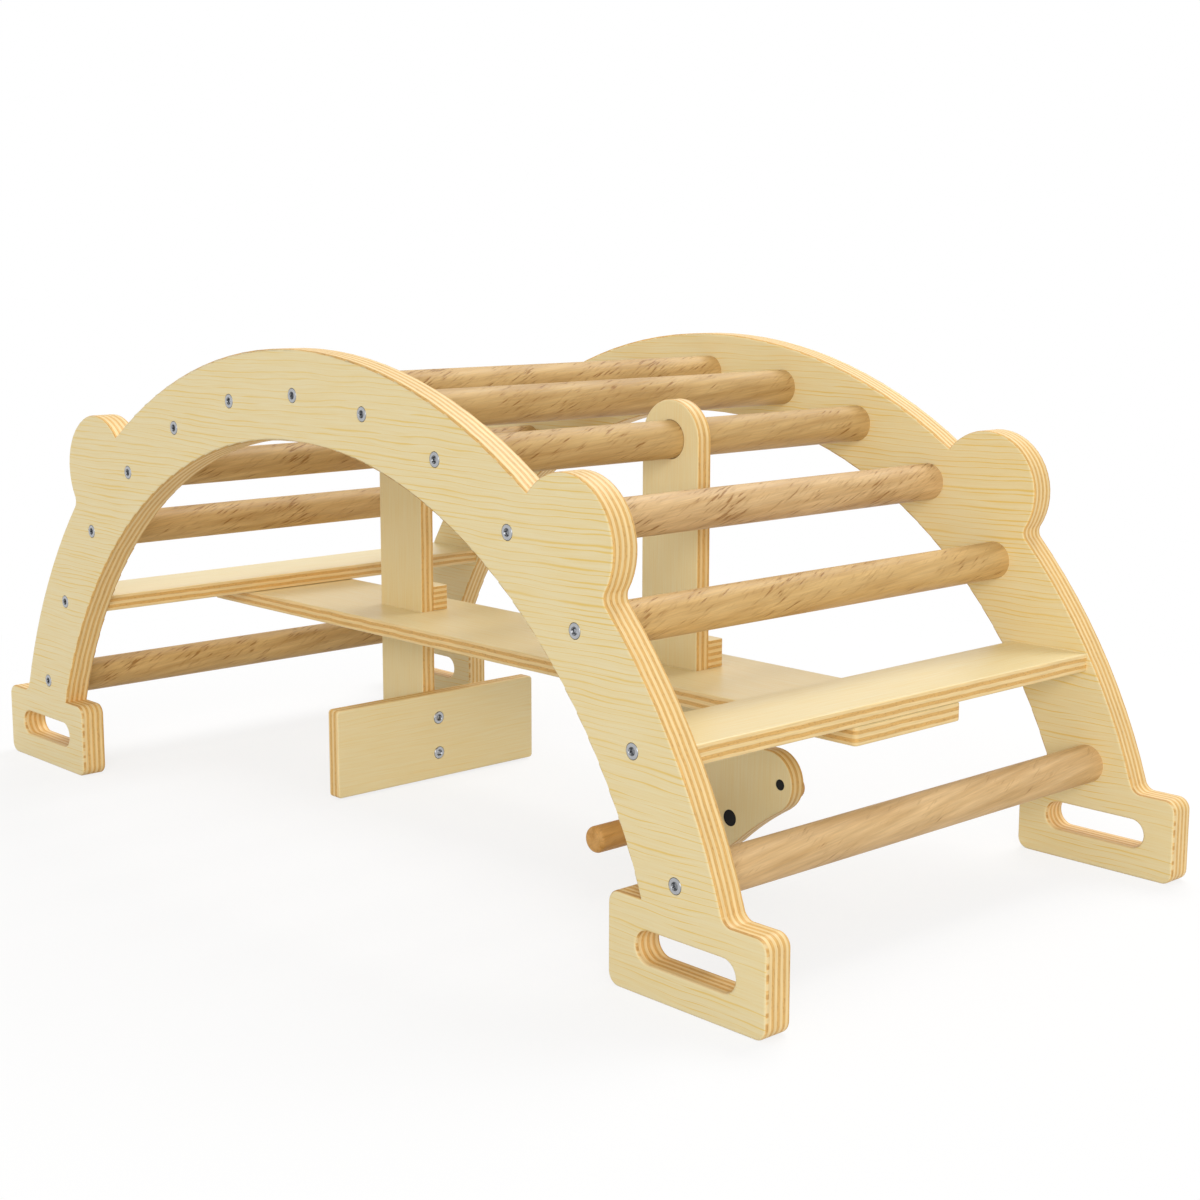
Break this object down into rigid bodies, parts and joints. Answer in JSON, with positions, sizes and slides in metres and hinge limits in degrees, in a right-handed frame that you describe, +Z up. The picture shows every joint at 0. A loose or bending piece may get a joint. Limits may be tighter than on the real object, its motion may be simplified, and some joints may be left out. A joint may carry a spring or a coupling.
{
  "type": "climbing arch",
  "caption": "Reversible children's climbing arch in plywood, with rungs, two step boards and a rocker seat that hangs inside with its backrest and animal head.",
  "frame": {"origin": "on the floor, under the middle of the arch", "axes": "+X runs along the arch from the backrest end to the head end, +Y from the front panel to the back one, +Z up"},
  "size_m": [1.0528, 0.5108, 0.431],
  "materials": {
    "birch_plywood": "satin",
    "beech": "satin",
    "bolt_steel": "satin",
    "zinc_steel": "satin",
    "insert_brass": "satin",
    "black_plastic": "matte"
  },
  "bodies": {
    "frame": {"side_panel_front": "birch_plywood", "side_panel_back": "birch_plywood", "rung_01": "beech", "rung_02": "beech", "rung_03": "beech", "rung_04": "beech", "rung_05": "beech", "rung_06": "beech", "rung_07": "beech", "rung_08": "beech", "rung_09": "beech", "rung_10": "beech", "rung_11": "beech", "step_board_left": "birch_plywood", "step_board_right": "birch_plywood", "rung_bolts_front": "bolt_steel", "rung_bolts_back": "bolt_steel", "step_bolts": "bolt_steel", "rung_inserts_front": "insert_brass", "rung_inserts_back": "insert_brass", "step_barrel_nuts": "zinc_steel", "step_dowels": "beech"},
    "seat": {"seat_plank": "birch_plywood", "backrest_upright": "birch_plywood", "head_upright": "birch_plywood", "backrest_board": "birch_plywood", "handlebar": "beech", "backrest_cleat": "birch_plywood", "head_cleat": "birch_plywood", "eye_plug": "black_plastic", "nostril_plug": "black_plastic", "backrest_bolts": "bolt_steel", "backrest_barrel_nuts": "zinc_steel", "plank_screws": "zinc_steel", "cleat_screws": "zinc_steel"}
  },
  "joints": [
    {"name": "seat_slide", "type": "slide", "parent": "frame", "child": "seat", "axis": [0, 1, 0], "range_m": [-0.1675, 0.1675]}
  ]
}
